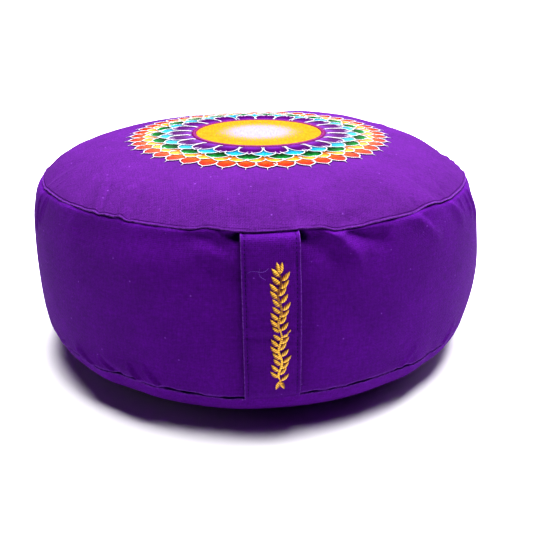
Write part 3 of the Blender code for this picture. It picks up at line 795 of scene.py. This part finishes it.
# The stitches in the groove beside the top seam, each in five places along its length.
STITCHES_ROUND, STITCH_HALF = 320, 1.15
BURIED_AT, BURIED_REACH = -92.0, 40.0  # they sink into the cloth in front
STITCH_LIFT = np.array((-0.75, -0.42, -0.33, -0.42, -0.75)) - 0.1
STITCH_WIDE, STITCH_HIGH = (0.12, 0.27, 0.3, 0.27, 0.12), (0.1, 0.22, 0.25, 0.22, 0.1)
stitch_reach = TOP_SEAM_RADIUS - STITCH_INSIDE
stitch_paths = []
for angle in np.radians(np.arange(0.0, 360.0, 360.0 / STITCHES_ROUND)):
    turn = angle + np.linspace(-STITCH_HALF, STITCH_HALF, 5) / stitch_reach
    lift = STITCH_LIFT - 0.5 * bell(turn_between(np.degrees(angle), BURIED_AT), BURIED_REACH)
    stitch_paths.append(np.column_stack((stitch_reach * np.cos(turn), stitch_reach * np.sin(turn), lift)))
seam_thread = laid_thread("violet_sewing_thread", "#330a52", "#3c0c60", roughness=0.7, lie=0.0, gloss=0.1)
top_seam_stitches = cords(
    "top_seam_stitches", stitch_paths, STITCH_WIDE, STITCH_HIGH, on_crown, seam_thread)

# ---- The bottom panel
# A second round of canvas, eased into the lower seam, which puckers it, and turned
# under the belly onto the floor, where the weight presses it flat.
LIP = 0.2  # how far its edge stands out over the seam
base_profile = [(0.0, CANVAS)]
base_profile += [base_point(degrees, CANVAS) for degrees in (90, 66, 40, 15)]
base_profile += [(BOTTOM_SEAM_RADIUS + out, BOTTOM_SEAM_HEIGHT - down) for out, down in (
    (-1.8, 0.6), (-1.0, -0.1), (-0.4, -0.2), (0.05, -0.1), (0.3, 0.2), (0.36, 0.6), (0.3, 1.1))]
base_profile += [base_point(degrees) for degrees in (4, 7, 11, 15, 20, 26, 33, 40, 48, 57, 66, 75, 83, 90)]
base_profile += [(70.0, 0.0), (35.0, 0.0), (0.0, 0.0)]

base_mesh = turned_mesh(base_profile)
form = coordinates(base_mesh)
at_lip = bell(plan_radius(form) - BOTTOM_SEAM_RADIUS - LIP, 0.4)
# Painted highlight, with some worn dye, along the bottom panel's lip at the seam.
paint_wear_and_highlight(base_mesh, at_lip * bell(form[:, 2] - BOTTOM_SEAM_HEIGHT, 0.5))
below_seam = np.maximum(BOTTOM_SEAM_HEIGHT - form[:, 2], 0.0)
eased = foot_puckers(plan_angle(form), below_seam) * np.clip(form[:, 2] / 12.0, 0.0, 1.0)
settled = settle(form)
settled[:, :2] += outward_way(form) * eased[:, None]
place_points(base_mesh, settled)

# The base's canvas is brighter than the band's: painted light, standing in for light thrown up off the white
# floor.
base_canvas = cotton_canvas("violet_cotton_canvas_base", "#5c1085", wear_and_highlight=0.45)
base_cloth = new_piece("base_cloth", base_mesh, base_canvas)
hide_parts("bottom_panel")

# ---- The carrying strap
# A strip of the canvas folded to 36 mm, topstitched along both edges, and let into the
# seams. It rolls over a soft shoulder under the panel's edge and lies on the belly.
STRAP_WIDTH = 36.0
STRAP_THICKNESS = 1.6
STRAP_ANGLE = -90.0
STRAP_SHOULDER = (
    (-1.8, 0.0), (0.2, 0.15), (1.7, 0.9), (2.9, 2.2), (3.9, 4.0), (4.8, 6.5), (5.8, 9.8),
    (7.1, 14.2), (8.6, 19.6), (10.1, 25.5), (11.3, 31.5),
)
STRAP_ENTRY = TOP_SEAM_HEIGHT - CANVAS - 1.1
STRAP_FREE_RADIUS = TOP_SEAM_RADIUS + 12.7
STRAP_LANDING, STRAP_ON_BELLY = 98.0, 80.0  # where it comes down to the band, and lies on it
STRAP_STAND_OFF = 1.5  # from the band to its inner face
STRAP_SLANT = 0.3, 1.1  # how far right of its middle plane its top and its foot are sewn
STITCH_LINE = 15.4  # from the strap's middle
STITCH_PITCH = 2.6

ROUTE_STEP = 1.1
route = [(TOP_SEAM_RADIUS + out, STRAP_ENTRY - down) for out, down in STRAP_SHOULDER]
for level in np.linspace(STRAP_LANDING, BOTTOM_SEAM_HEIGHT + 5.0, 11):
    lying = band_radius(level) + STRAP_STAND_OFF
    route.append((max(lying, STRAP_FREE_RADIUS) if level > STRAP_ON_BELLY else lying, level))
route += [(BOTTOM_SEAM_RADIUS - 0.3, BOTTOM_SEAM_HEIGHT + rise) for rise in (2.2, 0.3)]

route_points = np.array(route)
lengths = np.concatenate(([0.0], np.cumsum(np.hypot(*np.diff(route_points, axis=0).T))))
STRAP_LENGTH = float(lengths[-1])
strap_runs = np.linspace(0.0, STRAP_LENGTH, math.ceil(STRAP_LENGTH / ROUTE_STEP + 0.5))
smooth_route = np.column_stack([np.interp(strap_runs, lengths, column) for column in route_points.T])
for _ in range(5):
    smooth_route[1:-1] += 0.25 * (smooth_route[:-2] + smooth_route[2:] - 2.0 * smooth_route[1:-1])
along = np.gradient(smooth_route, axis=0)
along /= np.hypot(*along.T)[:, None]


def on_strap(across, run, lift):
    """Points at a distance across the strap, down its run and off its inner face, in mm."""
    radius, height = (np.interp(run, strap_runs, column) for column in smooth_route.T)
    up, inwards = (np.interp(run, strap_runs, column) for column in along.T)
    slant = np.interp(run, (0.0, STRAP_LENGTH), STRAP_SLANT)
    turn = math.radians(STRAP_ANGLE) + (across + slant) / radius
    reach = radius - inwards * lift
    points = np.column_stack((reach * np.cos(turn), reach * np.sin(turn), height + up * lift))
    return settle(points, with_folds=False)


STRAP_EDGE = (0.0, 0.2, 0.5, 0.9, 1.4, 1.9, 2.3, 2.6, 2.9, 3.3, 3.9, 4.8)  # fine steps in from it
EDGE_ROUND, EDGE_PADDING = 0.8, 0.4
GROOVE, GROOVE_BEAT = 0.38, 0.30  # the stitches' groove, and how each one deepens it
OLD_FOLDS = ((57.0, -0.4), (60.5, 0.45), (66.0, -0.35), (69.0, 0.3))  # place down it, and rise
half_width = STRAP_WIDTH / 2.0
face_places = [place - half_width for place in STRAP_EDGE] + list(np.linspace(-11.5, 11.5, 16))
face_places += [half_width - place for place in reversed(STRAP_EDGE)]
section = [(place, 1.0) for place in face_places] + [(place, -1.0) for place in reversed(face_places)]
section.append(section[0])
section_across, section_side = (np.array(column) for column in zip(*section))
strap_mesh, column, row, _ = grid_mesh(len(section) - 1, len(strap_runs) - 1)
across, side, run = section_across[column], section_side[column], strap_runs[row]
to_edge = half_width - np.abs(across)
rounding = np.sqrt(np.clip(1.0 - np.clip(1.0 - to_edge / EDGE_ROUND, 0.0, 1.0) ** 2, 0.0, 1.0))
groove = GROOVE + GROOVE_BEAT * np.cos(run * math.tau / STITCH_PITCH)
padding = EDGE_PADDING * bell(to_edge - 0.7, 0.5) - groove * bell(np.abs(across) - STITCH_LINE, 0.6)
lift = STRAP_THICKNESS * 0.5 + side * (STRAP_THICKNESS * 0.5 + padding) * rounding
creases = 0.22 * np.sin(run / 5.3 + across / 23.0) * np.sin(run / 17.0)
creases += 0.16 * np.sin(run / 2.9 - across / 9.0)
for at, high in OLD_FOLDS:
    creases += high * bell(run - at - 0.12 * across, 1.7)
lift += creases * np.clip(run / 20.0, 0.0, 1.0) * np.clip((STRAP_LENGTH - run) / 12.0, 0.0, 1.0)
# Painted highlight, with some worn dye, along both folded edges of the strap's outer face.
paint_wear_and_highlight(strap_mesh, bell(to_edge - 0.3, 0.36) * (side > 0))
corner_map(strap_mesh, "cloth", (across + 60.0 * (side < 0)) * MM, -run * MM)
place_points(strap_mesh, on_strap(across, run, lift))
close_up(strap_mesh)

# The strap's canvas is a touch darker than the band's: painted shade.
strap_canvas = cotton_canvas("violet_cotton_canvas_strap", "#520d79", wear_and_highlight=0.36)
strap = new_piece("strap", strap_mesh, strap_canvas)
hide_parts("strap_handle")

# Topstitching: matching thread along both edges of the strap, in the grooves it pulls.
STRAP_FACE = STRAP_THICKNESS  # lift of the strap's outer face
TOPSTITCH_LIFT = STRAP_FACE + np.array((-0.75, -0.38, -0.28, -0.38, -0.75))
TOPSTITCH_WIDE, TOPSTITCH_HIGH = (0.14, 0.3, 0.34, 0.3, 0.14), (0.12, 0.22, 0.25, 0.22, 0.12)
stitch_paths = []
for line in (-STITCH_LINE, STITCH_LINE):
    for start in np.arange(STITCH_PITCH, STRAP_LENGTH - 5.0, STITCH_PITCH):
        down = start + np.linspace(-0.5, 0.5, 5) * (STITCH_PITCH - 0.6)
        stitch_paths.append(np.column_stack((np.full(5, line), down, TOPSTITCH_LIFT)))
strap_stitches = cords(
    "strap_topstitching", stitch_paths, TOPSTITCH_WIDE, TOPSTITCH_HIGH, on_strap, seam_thread)

# ---- The gold vine on the strap
# A running vine in gold satin stitch down the strap: a wavy stem with a narrow leaf on
# either side at each bend, and a bud at both ends.
VINE_MIDDLE, VINE_TOP, VINE_FOOT = 4.6, 24.5, 95.5
VINE_WAVE, VINE_LENGTH = 1.1, 17.6
STEM_PLACES, STEM_TAPER = 90, 5.0
LEAF_PITCH, LEAF_LONG, LEAF_HALF, LEAF_THICKNESS = 4.4, 7.2, 1.5, 0.35
LEAF_COLUMNS, LEAF_ROWS = 8, 10
# The buds' leaves. Columns: place down the run, and the way each points.
BUDS = ((VINE_TOP + 0.6, 0.3), (VINE_TOP + 0.6, -0.3), (VINE_FOOT - 0.6, math.pi * 0.88),
        (VINE_FOOT - 0.6, -math.pi * 0.88))


def vine_across(run):
    """Where the stem lies across the strap, down its run."""
    return VINE_MIDDLE + VINE_WAVE * np.sin((run - VINE_TOP) / VINE_LENGTH * math.tau)


# Gold thread, from dark brown to pale yellow. Across each leaf the blend gives one side painted shade and
# the other a painted highlight; along the stem it goes from dark at its top to pale at its foot.
gold_thread = laid_thread("gold_rayon_satin", "#7a3a02", "#ffc846", 0.05, 0.85, 0.34, gloss=0.6, painted_furrow_shade=0.45)
stem_runs = np.linspace(VINE_TOP, VINE_FOOT, STEM_PLACES)
stem_path = np.column_stack((vine_across(stem_runs), stem_runs, np.full(STEM_PLACES, STRAP_FACE + 0.25)))
stem_ends = (VINE_TOP, VINE_TOP + STEM_TAPER, VINE_FOOT - STEM_TAPER, VINE_FOOT)
stem_half = np.interp(stem_runs, stem_ends, (0.3, 0.75, 0.75, 0.3))
stem = cords("vine_stem", stem_path[None], stem_half, 0.5, on_strap, gold_thread, sides=8)

leaves_at = []
for number, run in enumerate(np.arange(VINE_TOP + 2.0, VINE_FOOT - 2.5, LEAF_PITCH)):
    spread = math.radians(62.0 + 5.0 * math.sin(number * 1.7))
    leaves_at += [(run, -spread), (run + LEAF_PITCH * 0.5, spread)]
leaves_at, leaf_ways = np.array(leaves_at + list(BUDS)).T
leaf_mesh, column, row, leaf = grid_mesh(LEAF_COLUMNS, LEAF_ROWS, len(leaves_at))
across, along_leaf = 2.0 * column / LEAF_COLUMNS - 1.0, row / LEAF_ROWS
half = LEAF_HALF * np.sin(math.pi * np.clip(along_leaf, 0.0, 1.0) ** 0.85) ** 0.8
bend = leaf_ways[leaf] * (1.0 - 0.25 * along_leaf * (np.abs(leaf_ways[leaf]) < 2.0))
forward, aside = along_leaf * LEAF_LONG, across * half
leaf_across = vine_across(leaves_at)[leaf] + forward * np.sin(bend) + aside * np.cos(bend)
leaf_run = leaves_at[leaf] - forward * np.cos(bend) + aside * np.sin(bend)
leaf_lift = STRAP_FACE + 0.2 + 0.5 * (1.0 - across ** 2) * half / LEAF_HALF
place_points(leaf_mesh, on_strap(leaf_across, leaf_run, leaf_lift))
corner_map(leaf_mesh, "cloth", (forward + 0.5 * aside) * MM, aside * MM)
# The colour blend runs across each leaf: painted shade on one side, painted highlight on the other.
corner_map(leaf_mesh, "shade", column / LEAF_COLUMNS, 0.5 + 0.5 * across)
close_up(leaf_mesh, thickness=LEAF_THICKNESS)
leaves = new_piece("vine_leaves", leaf_mesh, gold_thread)

# Two fibres of lint cling to the strap. Columns: place across, down the run, first way, length.
LINT = ((-14.5, 24.5, -0.5, 14.0), (-6.5, 21.0, 1.2, 9.0))
LINT_PLACES = 24
step = np.linspace(0.0, 1.0, LINT_PLACES)
lint_paths = []
for start_across, start_run, way, length in LINT:
    heading = way + 0.7 * np.sin(step * 4.2 + way)
    lint_paths.append(np.column_stack((
        start_across + np.cumsum(np.cos(heading)) * length / LINT_PLACES,
        start_run + np.cumsum(np.sin(heading)) * length / LINT_PLACES,
        STRAP_FACE + 0.15 + 0.5 * np.sin(step * math.pi))))
lint_thread = laid_thread("pale_lint", "#6a3f98", "#8a62b4", roughness=0.8, lie=0.0, gloss=0.1)
lint = cords("lint_fibres", lint_paths, 0.12, 0.10, on_strap, lint_thread, sides=5)

# ---- Floor and light
# A round of matt white board in a plain white studio. One large softbox overhead, a little
# behind and to the right, burns the board out round the shadow, and a small weak one on
# either side keeps the band from going dark.
FLOOR_RADIUS = 1.05
floor_mesh = bpy.data.meshes.new("studio_floor")
floor_shape = bmesh.new()
bmesh.ops.create_circle(floor_shape, cap_ends=True, segments=64, radius=FLOOR_RADIUS)
floor_shape.to_mesh(floor_mesh)
floor_shape.free()
floor = linked("studio_floor", floor_mesh)
white_board, board_tree, board_shader = new_material("matt_white_board")
feed(board_tree, board_shader, Base_Color=(0.88, 0.88, 0.88, 1.0), Roughness=0.9, Specular_IOR_Level=0.1)
floor_mesh.materials.append(white_board)

# The white walls stand far off: they are seen, but hardly light the cushion. What light
# they give back is tinted by the violet cloth before it reaches the shadow.
world = bpy.data.worlds.new("studio_room")
world.use_nodes = True
room = world.node_tree
walls_seen = room.nodes["Background"]
feed(room, walls_seen, Color=(1.0, 1.0, 1.0, 1.0), Strength=1.0)
walls_felt = add_node(room, "Background", Color=(0.85, 0.5, 1.0, 1.0), Strength=0.014)[0]
seen = add_node(room, "LightPath")["Is Camera Ray"]
walls = add_node(room, "MixShader", _0=seen, _1=walls_felt, _2=walls_seen.outputs[0])[0]
feed(room, room.nodes["World Output"], Surface=walls)
bpy.context.scene.world = world


def softbox(name, place, target, width, depth, watts):
    """A rectangular softbox at a place, turned to face a point, in metres."""
    light = bpy.data.lights.new(name, "AREA")
    light.shape = "RECTANGLE"
    light.size, light.size_y = width, depth
    light.energy = watts
    aim(linked(name, light), place, Vector(target) - Vector(place))


softbox("overhead_softbox", (0.15, 0.21, 1.4), (0.0, 0.02, 0.1), 1.3, 1.3, 76.0)
softbox("right_softbox", (1.28, 0.46, 0.72), (0.0, 0.0, 0.1), 0.7, 0.9, 2.6)
softbox("left_softbox", (-1.4, 0.30, 0.20), (0.0, 0.0, 0.12), 0.6, 0.3, 1.9)
bpy.context.scene.view_settings.view_transform = "Standard"
bpy.context.scene.view_settings.look = "High Contrast"
